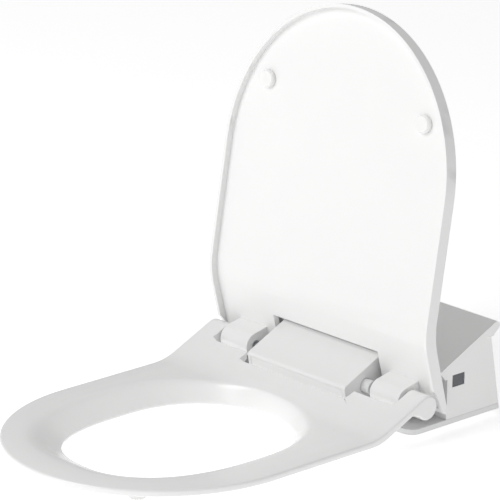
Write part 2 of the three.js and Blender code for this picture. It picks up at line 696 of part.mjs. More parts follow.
addNode(unit, 'base_plate', basePlate(), matteWhite);
addNode(group, 'mounting_plate', mountingPlate(), grey);
for (const [row, y] of footRows.entries()) {
  for (const [side, label] of [[-1, 'left'], [1, 'right']]) {
    const centre = [side * footX, y];
    const foot = join(
      rod('z', [0, 1.2], centre, footRadius - 1.2, 24, footRadius),
      rod('z', [1.2, footHeight - 0.1], centre, footRadius, 24),
      rod('z', [footHeight - 1, footHeight + 3], centre, footRadius / 2, 16),
    );
    addNode(group, `foot_${row === 0 ? 'front' : 'rear'}_${label}`, foot, rubber);
  }
}
addNode(unit, 'housing_shell', housingShell(), white);
addNode(unit, 'top_cover', topCover(), white);
addNode(unit, 'block_cover', blockCover(), white);
addNode(unit, 'lid_damper', damper(1), grey);
addNode(unit, 'seat_damper', damper(-1), grey);
for (const [index, [x, y]] of screwPlaces.entries()) {
  const screw = join(rod('z', [0.6, 3], [x, y], 4, 16), rod('z', [2.9, 22], [x, y], 1.8, 10));
  addNode(unit, `base_screw_${index + 1}`, screw, steel);
}

function irWindow() {
  const [wy, wz] = windowSize.map((size) => size / 2);
  const inner = wallHalfWidth - wallThickness;
  const pane = (grow, x0, x1) => box([x0, x1],
    [windowCentre[0] - wy - grow, windowCentre[0] + wy + grow],
    [windowCentre[1] - wz - grow, windowCentre[1] + wz + grow]);
  return join(pane(0, inner - runningGap, wallHalfWidth - 0.2), pane(2, inner - 1.5, inner - runningGap));
}
addNode(unit, 'sensor_window', irWindow(), darkLens);

// ---- left side controls ----

const innerWall = wallHalfWidth - wallThickness;

function releaseButton() {
  const [hy, hz] = buttonSize.map((size) => size / 2);
  const [cy, cz] = buttonCentre;
  const cap = prism('x', roundedRect([cy - hy, cy + hy], [cz - hz, cz + hz], hz - 0.01),
    [-wallHalfWidth - 1.2, -innerWall + 2]);
  const flange = box([-innerWall + 0.5, -innerWall + 2], [cy - hy - 2, cy + hy + 2], [cz - hz - 1, cz + hz + 1]);
  const stem = rod('x', [-innerWall + 1, -innerWall + 19], [cy, cz], 2.5, 12);
  return join(cap, flange, stem);
}

function buttonGuide() {
  const [cy, cz] = buttonCentre;
  const x = -innerWall + 13;
  const wall = box([x, x + 4], [cy - 10, cy + 10], [baseTop, cz + 9]);
  const foot = box([x, x + 14], [cy - 10, cy + 10], [baseTop, baseTop + 3]);
  return cut(join(wall, foot), rod('x', [x - 1, x + 5], [cy, cz], 2.8, 12));
}

// A coil spring as a bar wound along X.
function coil([start, end], [cy, cz], radius, wire, turns) {
  const points = Array.from({ length: turns * 8 + 1 }, (_, k) => {
    const angle = (k / 8) * 2 * Math.PI;
    const x = start + ((end - start) * k) / (turns * 8);
    return [x, cy + radius * Math.cos(angle), cz + radius * Math.sin(angle)];
  });
  return bentBar(points, wire, turns * 9, 3);
}

function rockerFrame() {
  const [ry, rz] = rockerSize.map((size) => size / 2);
  const [cy, cz] = rockerCentre;
  const x0 = -wallHalfWidth - 1;
  const flange = box([x0, -wallHalfWidth - 0.3], [cy - ry - 4, cy + ry + 4], [cz - rz - 4, cz + rz + 4]);
  const can = box([x0 + 0.3, -innerWall + 14], [cy - ry - 2.2, cy + ry + 2.2], [cz - rz - 2.2, cz + rz + 2.2]);
  const well = box([x0 - 1, -innerWall + 9], [cy - ry - 0.8, cy + ry + 0.8], [cz - rz - 0.4, cz + rz + 0.4]);
  return cut(join(flange, can), well);
}

function powerRocker() {
  const [ry, rz] = rockerSize.map((size) => size / 2);
  const [cy, cz] = rockerCentre;
  const x = rockerPivotX;
  const shape = polygon([[-ry, -4.2], [0, -5], [ry, -4.2], [ry - 1, 1], [1.5, 3], [-1.5, 3], [-ry + 1, 1]]);
  const cap = prism('z', shape, [cz - rz, cz + rz]);
  const turn = new THREE.Matrix4().makeRotationZ(-Math.PI / 2 + rockerTilt * deg).setPosition(x, cy, 0);
  return cap.transform(turn.elements);
}

const rockerPivotX = -wallHalfWidth + 3.5;
const springSpan = [-innerWall + 2.9, -innerWall + 12.1];

addNode(unit, 'release_button', releaseButton(), white);
addNode(unit, 'button_guide', buttonGuide(), grey);
addNode(unit, 'button_spring', coil(springSpan, buttonCentre, 3.8, 0.5, 4), steel);
addNode(unit, 'switch_frame', rockerFrame(), black);
addNode(unit, 'power_rocker', powerRocker(), black);

// ---- spray wand, drawn along +Y from its tip ----

const rackPitchX = wandRadius + 0.2;
const pinionCentreX = rackPitchX + pitchRadius + 0.15;
const toothPitch = Math.PI * toothModule;

// One tooth's flank outline, wide at the root, as [along, out] from the pitch line.
const toothOutline = [[-1.2, -1.5], [1.2, -1.5], [0.32, 0.9], [-0.32, 0.9]];

function wandTube() {
  const rackStart = pinionPlace - 9;
  const count = Math.floor((wandLength - rackStart - 2) / toothPitch);
  const flatX = wandRadius - 2;
  let body = cut(
    rod('y', [8, wandLength], [0, 0], wandRadius, 24),
    box([flatX, 10], [rackStart - 1, wandLength + 1], [-8, 8]),
  );
  body = body.add(box([flatX - 1, rackPitchX - 1.1], [rackStart, wandLength - 1], [-2.8, 2.8]));
  const offset = (pinionPlace - rackStart) % toothPitch;
  for (let k = 0; k < count; k++) {
    const y = rackStart + offset + k * toothPitch + toothPitch / 2;
    if (y > wandLength - 3) continue;
    const outline = polygon(toothOutline.map(([along, out]) => [rackPitchX + out, y + along]));
    body = body.add(prism('z', outline, [-2.8, 2.8]));
  }
  return cut(body, rod('y', [14, wandLength + 1], [0, 0], wandBore, 14));
}

function nozzleHead() {
  let body = join(
    rod('y', [0, 1.5], [0, 0], wandRadius - 1.5, 24, wandRadius),
    rod('y', [1.5, 7.7], [0, 0], wandRadius, 24),
  );
  for (const [y, radius] of [[2.8, 0.8], [5.4, 0.6]]) {
    body = cut(body, rod('z', [wandRadius - 2.5, wandRadius + 2], [0, y], radius, 8));
  }
  return body;
}

function pinion() {
  const rootRadius = pitchRadius - 1.25;
  let body = rod('z', [-2.4, 2.4], [0, 0], rootRadius, 28);
  for (let k = 0; k < pinionTeeth; k++) {
    const angle = (2 * Math.PI * k) / pinionTeeth;
    const outline = polygon(toothOutline.map(([along, out]) => {
      const [radial, tangential] = [pitchRadius + out, along * 0.92];
      return [
        radial * Math.cos(angle) - tangential * Math.sin(angle),
        radial * Math.sin(angle) + tangential * Math.cos(angle),
      ];
    }));
    body = body.add(prism('z', outline, [-2.4, 2.4]));
  }
  const bored = cut(body, rod('z', [-4, 4], [0, 0], 1.8, 12));
  return bored.transform(new THREE.Matrix4().makeTranslation(pinionCentreX, pinionPlace, 0).elements);
}

const manifoldSpan = [wandLength + 4, wandLength + 14];

// A channel under the wand with the motor's shelf beside it, on two legs.
function wandCradle() {
  const shelfX = apronEdge;
  // The channel starts where its lower corner clears the base plate.
  const drop = 12 * Math.cos(wandTilt * deg) + baseTop + 1 - wandTip[1];
  const frontEnd = drop / Math.sin(wandTilt * deg);
  const channel = box([-wandRadius - 4.5, 9], [frontEnd, manifoldSpan[1]], [-12, -3.6]);
  const leftWall = box([-wandRadius - 4.5, -wandRadius - 0.6], [frontEnd, wandLength], [-12, 3]);
  const apron = box([8, shelfX], [pinionPlace - 11, pinionPlace + 11], [-12, -6.5]);
  const post = box([shelfX - 3, shelfX], [pinionPlace - 11, pinionPlace + 11], [-12, 6.7]);
  const shelf = box([wandRadius + 1.2, shelfX], [pinionPlace - 11, pinionPlace + 11], [4.2, 6.7]);
  const shaftHole = rod('z', [0, 10], [pinionCentreX, pinionPlace], 2.6, 12);
  let body = join(channel, leftWall, apron, post, shelf);
  body = cut(body, shaftHole, rod('y', [0, wandLength + 1], [0, 0], wandRadius + 0.5, 24));
  body = alongWand(body);
  for (const [y0, y1] of [[-6, 0], [76, 82]]) {
    const reach = wandTip[1] + (y0 - wandTip[0]) * wandSlope - 9;
    body = body.add(box([-9, 9], [y0, y1], [baseTop, reach]));
  }
  return body;
}

function wandMotor() {
  const centre = [pinionCentreX, pinionPlace];
  return join(
    rod('z', [7, 19], centre, 10.5, 24),
    rod('z', [-2, 7.1], centre, 1.5, 12),
    box([pinionCentreX + 8, pinionCentreX + 13], [pinionPlace - 4, pinionPlace + 4], [9, 17]),
  );
}

function feedTube() {
  const [start, end] = manifoldSpan;
  return join(
    rod('y', [26, start + 1], [0, 0], wandBore - 0.4, 12),
    box([-7, 7], [start, end], [-3.2, 7]),
    rod('x', [6, 13], [(start + end) / 2, 2], 2.5, 12),
  );
}

const wandSeal = tube('y', [9.3, 11.3], [0, 0], wandRadius + 2.6, wandRadius + 1.8);

const wandGroup = new THREE.Group();
wandGroup.position.set(0, ...wandTip);
wandGroup.rotation.x = wandTilt * deg;
unit.add(wandGroup);
addNode(wandGroup, 'wand_tube', wandTube(), matteWhite);
addNode(wandGroup, 'nozzle_head', nozzleHead(), steel);
addNode(wandGroup, 'wand_pinion', pinion(), grey);
addNode(wandGroup, 'wand_motor', wandMotor(), black);
addNode(wandGroup, 'wand_feed_tube', feedTube(), steel);
addNode(unit, 'wand_cradle', wandCradle(), grey);

function nozzleFlap() {
  const skin = 2;
  const top = flapTop;
  const bottom = flapBottom;
  const shape = polygon([
    [frontFaceY(top) + 0.2, top],
    [frontFaceY(bottom) + 0.2, bottom],
    [frontFaceY(bottom) + skin, bottom],
    [frontFaceY(top) + skin + 0.6, top - 1],
    [frontFaceY(top) + skin, top],
  ]);
  return prism('x', shape, [-flapHalfWidth, flapHalfWidth]);
}
addNode(unit, 'nozzle_flap', nozzleFlap(), white);

// ---- water path and electronics ----

const heaterSpan = { x: [46, 148], y: [62, 104], z: [9, 48] };
const pumpPlace = { x: [-98, -48], centre: [98, 26], radius: 15 };
const valveSpan = { x: [-146, -118], y: [84, 110], z: [12, 40] };

function waterHeater() {
  const { x, y, z } = heaterSpan;
  const tank = prism('x', roundedRect(y, z, 9), x, 4);
  const inlet = rod('x', [x[0] - 8, x[0] + 2], [y[1] - 10, z[0] + 9], 3.5, 12);
  const outlet = rod('x', [x[0] - 8, x[0] + 2], [y[0] + 12, z[1] - 9], 3.5, 12);
  const foot = (x0) => box([x0, x0 + 10], [y[0] - 6, y[1] + 2], [baseTop, z[0] + 3]);
  return join(tank, inlet, outlet, foot(x[0] + 12), foot(x[1] - 22));
}

function pump() {
  const { x, centre, radius } = pumpPlace;
  return join(
    rod('x', [x[0], x[1] - 16], centre, radius, 24),
    box([x[1] - 16, x[1]], [centre[0] - radius, centre[0] + radius], [centre[1] - radius, centre[1] + radius]),
    box([x[0] + 8, x[1] - 4], [centre[0] - 9, centre[0] + 9], [baseTop, centre[1]]),
    rod('x', [x[1] - 1, x[1] + 6], [centre[0] + 6, centre[1] - 7], 3.2, 12),
    rod('z', [centre[1], centre[1] + radius + 5], [x[1] - 8, centre[0]], 3.2, 12),
  );
}

function solenoidValve() {
  const { x, y, z } = valveSpan;
  const middle = (x[0] + x[1]) / 2;
  return join(
    box(x, y, [z[0], z[0] + 18]),
    rod('z', [z[0] + 17, z[1]], [middle, (y[0] + y[1]) / 2], 10, 20),
    box([middle - 8, middle + 8], [y[0] + 4, y[1] - 4], [baseTop, z[0] + 1]),
    rod('x', [x[1] - 1, x[1] + 6], [y[0] + 7, z[0] + 9], 3.2, 12),
  );
}

function inletFitting() {
  const rearWall = rearWallY(inletPlace[1]);
  return cut(
    join(
      rod('y', [valveSpan.y[1] + runningGap, rearWall + 9], inletPlace, inletRadius, 24),
      rod('y', [rearWall - 10.5, rearWall - 8.5], inletPlace, inletRadius + 4, 6),
    ),
    rod('y', [rearWall - 4, rearWall + 12], inletPlace, inletRadius - 2.5, 20),
  );
}

function inletFilter() {
  const rearWall = rearWallY(inletPlace[1]);
  return tube('y', [rearWall - 3.7, rearWall + 4], inletPlace, inletRadius - 2.9, inletRadius - 4.5, 16);
}

function mainsGland() {
  const rearWall = rearWallY(glandPlace[1]);
  return cut(
    join(
      rod('y', [rearWall - 10, rearWall + 3], glandPlace, glandRadius, 20),
      rod('y', [rearWall + 2.2, rearWall + 7], glandPlace, glandRadius + 3, 6),
    ),
    rod('y', [rearWall - 11, rearWall + 9], glandPlace, 3.6, 14),
  );
}

function controlBoard() {
  const board = box(boardX, boardY, [boardZ, boardZ + 1.6]);
  const chip = (x, y, w, d, h) => box([x, x + w], [y, y + d], [boardZ + 1, boardZ + 1.6 + h]);
  return join(board, chip(50, 60, 16, 16, 2), chip(80, 56, 22, 12, 6), chip(118, 60, 14, 20, 8),
    chip(140, 84, 20, 14, 5), chip(72, 86, 26, 14, 9), rod('z', [boardZ + 1, boardZ + 13], [112, 94], 5, 14));
}

function powerPack() {
  const lid = prism('z', roundedRect([-138, -56], [50, 76], 4), [baseTop, 34], 4);
  return join(lid, box([-128, -66], [54, 72], [33, 37]));
}

addNode(unit, 'water_heater', waterHeater(), grey);
addNode(unit, 'pump', pump(), black);
addNode(unit, 'solenoid_valve', solenoidValve(), matteWhite);
addNode(unit, 'water_inlet', inletFitting(), brass);
addNode(unit, 'inlet_filter', inletFilter(), steel);
addNode(unit, 'mains_gland', mainsGland(), black);
addNode(unit, 'control_board', controlBoard(), boardGreen);
addNode(unit, 'power_pack', powerPack(), black);

// Hoses between the ports, each stopping just short of the stub that it fits.
function hose(points) {
  return bentBar(points, 3, 16, 5);
}

const pumpTop = pumpPlace.centre[1] + pumpPlace.radius;
const pumpIn = [pumpPlace.x[1] - 8, pumpPlace.centre[0], pumpTop + 5 + runningGap];
const pumpOut = [pumpPlace.x[1] + 6 + runningGap, pumpPlace.centre[0] + 6, pumpPlace.centre[1] - 7];
const valveOut = [valveSpan.x[1] + 6 + runningGap, valveSpan.y[0] + 7, valveSpan.z[0] + 9];
const heaterIn = [heaterSpan.x[0] - 8 - runningGap, heaterSpan.y[1] - 10, heaterSpan.z[0] + 9];
const heaterOut = [heaterSpan.x[0] - 8 - runningGap, heaterSpan.y[0] + 12, heaterSpan.z[1] - 9];
const manifoldMiddle = (manifoldSpan[0] + manifoldSpan[1]) / 2;
const manifoldPort = new THREE.Vector3(13 + 2 * runningGap, manifoldMiddle, 2)
  .applyMatrix4(wandToWorld)
  .toArray();

addNode(unit, 'hose_valve_pump', hose([
  valveOut, [valveOut[0] + 3, valveOut[1], valveOut[2]], [-104, 92, 32], [-98, 94, 48], [-82, 97, 57],
  [pumpIn[0] - 7, pumpIn[1], pumpIn[2] + 10], [pumpIn[0], pumpIn[1], pumpIn[2] + 5], pumpIn,
]), hoseBlue);
addNode(unit, 'hose_pump_heater', hose([
  pumpOut, [pumpOut[0] + 6, pumpOut[1], pumpOut[2]], [-10, 107, 17], [16, 103, 16],
  [heaterIn[0] - 6, heaterIn[1], heaterIn[2]], heaterIn,
]), hoseBlue);
addNode(unit, 'hose_heater_wand', hose([
  heaterOut, [heaterOut[0] - 5, heaterOut[1], heaterOut[2]], [25, 84, 46], [26, 100, 60],
  [manifoldPort[0] + 5, manifoldPort[1], manifoldPort[2]], manifoldPort,
]), hoseBlue);
addNode(unit, 'wand_seal', alongWand(wandSeal), rubber);

export default group;
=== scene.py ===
import json
import math

import bmesh
import bpy
from mathutils import Matrix, Vector, noise

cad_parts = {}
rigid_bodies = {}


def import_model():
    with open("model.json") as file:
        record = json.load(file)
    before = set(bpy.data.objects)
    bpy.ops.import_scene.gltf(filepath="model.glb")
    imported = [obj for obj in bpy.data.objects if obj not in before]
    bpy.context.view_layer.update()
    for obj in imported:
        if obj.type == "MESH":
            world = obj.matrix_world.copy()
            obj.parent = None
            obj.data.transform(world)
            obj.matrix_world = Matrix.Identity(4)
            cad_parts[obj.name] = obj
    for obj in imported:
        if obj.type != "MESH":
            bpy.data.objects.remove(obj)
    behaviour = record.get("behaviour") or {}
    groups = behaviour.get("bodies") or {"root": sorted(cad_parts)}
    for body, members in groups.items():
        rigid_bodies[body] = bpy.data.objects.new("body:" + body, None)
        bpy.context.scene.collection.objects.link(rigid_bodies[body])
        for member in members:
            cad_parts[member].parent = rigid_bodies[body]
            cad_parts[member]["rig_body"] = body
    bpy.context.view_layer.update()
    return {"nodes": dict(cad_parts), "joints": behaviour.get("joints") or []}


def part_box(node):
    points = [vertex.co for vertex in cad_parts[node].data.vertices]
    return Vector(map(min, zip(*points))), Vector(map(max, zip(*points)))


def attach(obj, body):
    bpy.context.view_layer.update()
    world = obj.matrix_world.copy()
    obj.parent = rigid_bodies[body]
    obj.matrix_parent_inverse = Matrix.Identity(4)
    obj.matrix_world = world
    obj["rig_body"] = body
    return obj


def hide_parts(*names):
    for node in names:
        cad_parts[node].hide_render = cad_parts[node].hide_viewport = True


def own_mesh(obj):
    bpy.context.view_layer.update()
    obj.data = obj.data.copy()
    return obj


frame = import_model()
mm = 0.001

camera = {
    "azimuth": 46.96,  # degrees from straight in front, towards the right
    "elevation": 18.28,
    "roll": 0.71,
    "distance": 4.4517,
    "target": (0.0014, -0.150, 0.1918),
    "lens": 274.6,
    "shift": (0.0453, 0.0523),
}


def placeCamera(spec):
    data = bpy.data.cameras.new("camera")
    data.sensor_width = 36
    data.lens = spec["lens"]
    data.shift_x, data.shift_y = spec["shift"]
    data.clip_end = 50
    obj = bpy.data.objects.new("camera", data)
    bpy.context.scene.collection.objects.link(obj)
    az, el, roll = (math.radians(spec[key]) for key in ("azimuth", "elevation", "roll"))
    back = Vector((math.sin(az) * math.cos(el), -math.cos(az) * math.cos(el), math.sin(el)))
    right = Vector((0, 0, 1)).cross(back).normalized()
    up = back.cross(right)
    rolledRight = right * math.cos(roll) + up * math.sin(roll)
    rolledUp = up * math.cos(roll) - right * math.sin(roll)
    turn = Matrix((rolledRight, rolledUp, back)).transposed().to_4x4()
    obj.matrix_world = Matrix.Translation(Vector(spec["target"]) + back * spec["distance"]) @ turn
    bpy.context.scene.camera = obj


placeCamera(camera)
print("stage: camera placed")

studio = {
    "floorSize": 14.0,
    "worldStrength": 0.47,
    "keyPower": 42.0,
    "keySize": 2.0,
    "keyPlace": (-0.75, -2.55, 2.1),
    "keyAim": (0, -0.1, 0.1),
    "paperRoughness": 0.9,
    "floorGlow": 0.42,
}


def linear(code):
    values = [int(code[i:i + 2], 16) / 255 for i in (0, 2, 4)]
    return tuple(v / 12.92 if v <= 0.04045 else ((v + 0.055) / 1.055) ** 2.4 for v in values) + (1.0,)


def addNode(tree, kind, links=None, **settings):
    node = tree.nodes.new(kind)
    for key, value in settings.items():
        setattr(node, key, value)
    for socket, value in (links or {}).items():
        if isinstance(value, bpy.types.NodeSocket):
            tree.links.new(value, node.inputs[socket])
        else:
            node.inputs[socket].default_value = value
    return node


def addAreaLight(name, place, target, size, power):
    data = bpy.data.lights.new(name, "AREA")
    data.shape = "DISK"
    data.size = size
    data.energy = power
    obj = bpy.data.objects.new(name, data)
    bpy.context.scene.collection.objects.link(obj)
    aim = (Vector(target) - Vector(place)).to_track_quat("-Z", "Y")
    obj.matrix_world = Matrix.Translation(place) @ aim.to_matrix().to_4x4()


def buildStudio(spec):
    scene = bpy.context.scene
    scene.view_settings.view_transform = "Standard"
    scene.view_settings.look = "None"
    world = bpy.data.worlds.new("studio")
    world.use_nodes = True
    world.node_tree.nodes["Background"].inputs["Color"].default_value = (1, 1, 1, 1)
    world.node_tree.nodes["Background"].inputs["Strength"].default_value = spec["worldStrength"]
    scene.world = world
    addAreaLight("key", spec["keyPlace"], spec["keyAim"], spec["keySize"], spec["keyPower"])

    half = spec["floorSize"] / 2
    mesh = bpy.data.meshes.new("floor")
    corners = [(-half, -half, 0), (half, -half, 0), (half, half, 0), (-half, half, 0)]
    mesh.from_pydata(corners, [], [(0, 1, 2, 3)])
    floor = bpy.data.objects.new("floor", mesh)
    bpy.context.scene.collection.objects.link(floor)
    paint = bpy.data.materials.new("floorPaper")
    paint.use_nodes = True
    tree = paint.node_tree
    shader = tree.nodes["Principled BSDF"]
    shader.inputs["Roughness"].default_value = spec["paperRoughness"]
    shader.inputs["Emission Color"].default_value = (1, 1, 1, 1)
    shader.inputs["Emission Strength"].default_value = spec["floorGlow"]
    coords = addNode(tree, "ShaderNodeTexCoord")
    grain = addNode(tree, "ShaderNodeTexNoise", {"Vector": coords.outputs["Object"], "Scale": 3.0})
    tone = addNode(tree, "ShaderNodeMix", {0: grain.outputs["Fac"], 6: linear("FBFBFB"), 7: linear("FEFEFE")},
                   data_type="RGBA")
    tree.links.new(tone.outputs[2], shader.inputs["Base Color"])
    mesh.materials.append(paint)


buildStudio(studio)
print("stage: studio lit")


def surface(name, base, second, spotSize, roughness, bumpSize, bumpDepth, metallic=0.0, ior=None, coat=0.0,
            stretch=(1, 1, 1), roughSpread=0.06, subsurface=0.0):
    # Sizes in millimetres: spotSize for slow colour drift, bumpSize for the fine texture.
    material = bpy.data.materials.new(name)
    material.use_nodes = True
    tree = material.node_tree
    shader = tree.nodes["Principled BSDF"]
    shader.inputs["Metallic"].default_value = metallic
    if ior:
        shader.inputs["IOR"].default_value = ior
    if coat:
        shader.inputs["Coat Weight"].default_value = coat
        shader.inputs["Coat Roughness"].default_value = 0.08
    if subsurface:
        shader.inputs["Subsurface Weight"].default_value = subsurface
        shader.inputs["Subsurface Radius"].default_value = (0.004, 0.004, 0.004)
        shader.inputs["Subsurface Scale"].default_value = 1.0
    coords = addNode(tree, "ShaderNodeTexCoord")
    placed = addNode(tree, "ShaderNodeMapping", {"Vector": coords.outputs["Object"], "Scale": stretch})
    drift = addNode(tree, "ShaderNodeTexNoise",
                    {"Vector": placed.outputs[0], "Scale": 1000 / spotSize, "Detail": 3.0})
    tone = addNode(tree, "ShaderNodeMix", {0: drift.outputs["Fac"], 6: linear(base), 7: linear(second)},
                   data_type="RGBA")
    tree.links.new(tone.outputs[2], shader.inputs["Base Color"])
    grain = addNode(tree, "ShaderNodeTexNoise",
                    {"Vector": placed.outputs[0], "Scale": 1000 / bumpSize, "Detail": 2.0})
    rough = addNode(tree, "ShaderNodeMapRange",
                    {"Value": grain.outputs["Fac"], "To Min": max(0.0, roughness - roughSpread),
                     "To Max": roughness + roughSpread})
    tree.links.new(rough.outputs[0], shader.inputs["Roughness"])
    bump = addNode(tree, "ShaderNodeBump",
                   {"Height": grain.outputs["Fac"], "Strength": 1.0, "Distance": bumpDepth * mm})
    tree.links.new(bump.outputs[0], shader.inputs["Normal"])
    return material


# Urea resin, pressed in a polished mould: hard, dense white with a soft clear gloss.
pressedUrea = surface("pressedUrea", "F7F7F6", "F4F4F4", 60, 0.24, 1.6, 0.004, ior=1.55)
# ABS, injection moulded in a finely etched mould: slightly broader highlights than the seat.
mouldedAbs = surface("mouldedAbs", "F5F5F4", "F2F2F2", 60, 0.34, 0.9, 0.008, ior=1.54)
# ABS of the base, from a coarser etched mould: matt.
etchedAbs = surface("etchedAbs", "ECECEC", "E8E8E9", 60, 0.52, 1.2, 0.02, ior=1.54)
# Silicone rubber, moulded: milky, soft and slightly see-through at the rim.
mouldedSilicone = surface("mouldedSilicone", "F7F7F6", "F3F3F2", 20, 0.55, 0.8, 0.01, ior=1.41,
                          subsurface=0.3)
# Polycarbonate, smoked and polished: dark grey with a sharp reflection.
smokedPolycarbonate = surface("smokedPolycarbonate", "55585C", "4C4F53", 12, 0.12, 2.0, 0.001, ior=1.585)
# Acetal, injection moulded: waxy mid grey.
mouldedAcetal = surface("mouldedAcetal", "A9ACB0", "A2A5A9", 25, 0.42, 0.8, 0.006, ior=1.48)
# Acetal, natural and turned: the dampers' milky cylinders.
turnedAcetal = surface("turnedAcetal", "E9EAE9", "E2E3E3", 10, 0.36, 0.8, 0.006, ior=1.48,
                       stretch=(0.3, 1, 1))
# Nylon, glass filled and moulded: dull near black with a gritty skin.
filledNylon = surface("filledNylon", "2E3033", "26282B", 15, 0.58, 0.7, 0.015, ior=1.53)
# Stainless steel bar, ground along its length: fine streaks across the highlight.
groundSteel = surface("groundSteel", "C9CBCE", "BDBFC3", 8, 0.26, 0.8, 0.004, metallic=1.0,
                      stretch=(0.12, 1, 1))
# Stainless steel, turned and polished: nearly a mirror.
turnedSteel = surface("turnedSteel", "D2D4D7", "C8CACD", 8, 0.14, 1.2, 0.002, metallic=1.0,
                      stretch=(1, 0.3, 1))
# Spring wire, drawn and oiled.
drawnWire = surface("drawnWire", "9EA1A5", "8D9094", 4, 0.3, 0.6, 0.003, metallic=1.0)
# Brass, turned: warm with faint tool rings.
turnedBrass = surface("turnedBrass", "C9A65A", "B9954B", 8, 0.24, 0.8, 0.004, metallic=1.0, stretch=(1, 4, 1))
# Glass-fibre circuit board under green solder lacquer.
lacqueredBoard = surface("lacqueredBoard", "1F6A44", "185637", 9, 0.35, 1.5, 0.01, ior=1.52, coat=0.4)
# Silicone hose, extruded: bluish and dull.
extrudedSilicone = surface("extrudedSilicone", "B4C6D2", "A6BAC8", 15, 0.48, 1.0, 0.006, ior=1.41)
print("stage: materials mixed")


def box(node):
    low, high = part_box(node)
    return low / mm, high / mm


def newObject(name, bm, material, smoothAngle=35.0, weighted=False):
    # Turns a mesh drawn in millimetres into a finished piece in metres.
    limit = math.radians(smoothAngle)
    for face in bm.faces:
        face.smooth = True
    for edge in bm.edges:
        edge.smooth = len(edge.link_faces) == 2 and edge.calc_face_angle(0) < limit
    mesh = bpy.data.meshes.new(name)
    bm.to_mesh(mesh)
    bm.free()
    mesh.transform(Matrix.Scale(mm, 4))
    mesh.materials.append(material)
    obj = bpy.data.objects.new(name, mesh)
    bpy.context.scene.collection.objects.link(obj)
    if weighted:
        modifier = obj.modifiers.new("flatFaces", "WEIGHTED_NORMAL")
        modifier.keep_sharp = True
    return obj


def roundEdges(bm, chosen, width, segments=3):
    # Rounds the edges that the test picks, by a radius in millimetres.
    edges = [edge for edge in bm.edges if len(edge.link_faces) == 2 and chosen(edge)]
    bmesh.ops.bevel(bm, geom=edges, offset=width, offset_type="OFFSET", segments=segments, profile=0.5,
                    affect="EDGES", clamp_overlap=True)


def sharper(degrees):
    limit = math.radians(degrees)
    return lambda edge: edge.calc_face_angle(0) > limit


def skin(bm, rows, closed=False):
    # Joins rows of vertices with quads, each row as long as the next.
    for low, high in zip(rows, rows[1:]):
        count = len(low)
        for k in range(count if closed else count - 1):
            corners = [low[k], low[(k + 1) % count], high[(k + 1) % count], high[k]]
            unique = list(dict.fromkeys(corners))
            if len(unique) > 2:
                bm.faces.new(unique)


def fromCad(node, width, segments=3, angle=35.0):
    # A copy of a CAD piece with its flats whole again and its edges rounded.
    bm = bmesh.new()
    bm.from_mesh(frame["nodes"][node].data)
    bmesh.ops.scale(bm, vec=(1 / mm, 1 / mm, 1 / mm), verts=bm.verts)
    bmesh.ops.remove_doubles(bm, verts=bm.verts, dist=0.01)
    bmesh.ops.dissolve_degenerate(bm, edges=bm.edges, dist=0.005)
    bmesh.ops.dissolve_limit(bm, angle_limit=math.radians(0.6), verts=bm.verts, edges=bm.edges)
    if width:
        roundEdges(bm, sharper(angle), width, segments)
    return bm


def dress(node, name, material, width=0.6, segments=3, angle=35.0):
    # The piece seen in place of a CAD node, with its edges rounded.
    piece = newObject(name, fromCad(node, width, segments, angle), material, weighted=width > 0)
    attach(piece, frame["nodes"][node]["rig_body"])
    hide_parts(node)
    return piece


hingeHeight = next(j for j in frame["joints"] if j["name"] == "lid_hinge")["pos_m"][2] / mm
ringLow, ringHigh = box("seat_ring")

seat = {
    "halfWidth": ringHigh.x,
    "frontReach": -ringLow.y,
    "noseDepth": 198.0,
    "edgeTop": 22.0,
    "edgeBottom": 14.2,
    "crownRise": 3.0,
    "crownInset": 30.0,
    "hole": {"half": 112.0, "centre": -200.0, "front": 159.0, "back": 120.0, "power": (2.9, 2.15)},
    "funnelTop": {"half": 142.0, "centre": -222.0, "front": 180.0, "back": 148.0, "power": (2.5, 2.3)},
    "lip": (ringLow.z, ringLow.z + 2.5),
    "ramp": 24.0,
    "neckThickness": 9.0,
    "barrelRadius": 15.0,
    "barrelCentre": (2.0, hingeHeight - 1.5),
    "seam": -64.0,  # where the ring hands over to the neck
    "notch": (92.0, -42.0),
    "tab": (157.0, -27.5),
    "edgeRound": 2.4,
    "holeRound": 1.0,
    "notchRound": 1.3,
    "crestRound": 6.0,
    "crestOvershoot": 1.6,  # the wall's line aims this far above the crest, which the rounding takes off
    "crestReach": 2.5,  # wall widths over which that rounding acts
    "rampBlend": (8.0, 5.0),  # softness of the bend into the ramp, above and below
    "lipFlat": 0.08,  # share of the wall's underside that stays level at the lip
    "thinnest": 1.2,
    "wallRows": 12,
    "faceRows": 18,
    "faceBias": 1.25,  # crowds the face's rows towards the crest
    "noseColumns": 96,
    "sideColumns": 9,
    "barrelSteps": 24,
}


def rampLine(spec):
    # The neck's upper line as a function of y, tangent to the barrel, and where it leaves the ring.
    slope = math.radians(spec["ramp"])
    cy, cz = spec["barrelCentre"]
    ty = cy - spec["barrelRadius"] * math.sin(slope)
    tz = cz + spec["barrelRadius"] * math.cos(slope)
    height = lambda y, raised=0.0: tz + (y - ty) * math.tan(slope) + raised / math.cos(slope)
    start = ty + (spec["edgeTop"] - tz) / math.tan(slope)
    return height, start, (ty, tz)


neckHeight, neckStart, neckTangent = rampLine(seat)


def smoothMin(a, b, width):
    gap = max(width - abs(a - b), 0.0) / width
    return min(a, b) - gap * gap * width * 0.25


def smoothMax(a, b, width):
    return -smoothMin(-a, -b, width)


def eggPoint(egg, angle):
    # A point of an egg-shaped outline, squarer towards the front.
    c, s = math.cos(angle), math.sin(angle)
    n = egg["power"][1 if s > 0 else 0]
    stretch = (abs(c) ** n + abs(s) ** n) ** (-1 / n)
    reach = egg["back"] if s > 0 else egg["front"]
    return Vector((egg["half"] * c * stretch, egg["centre"] + reach * s * stretch))


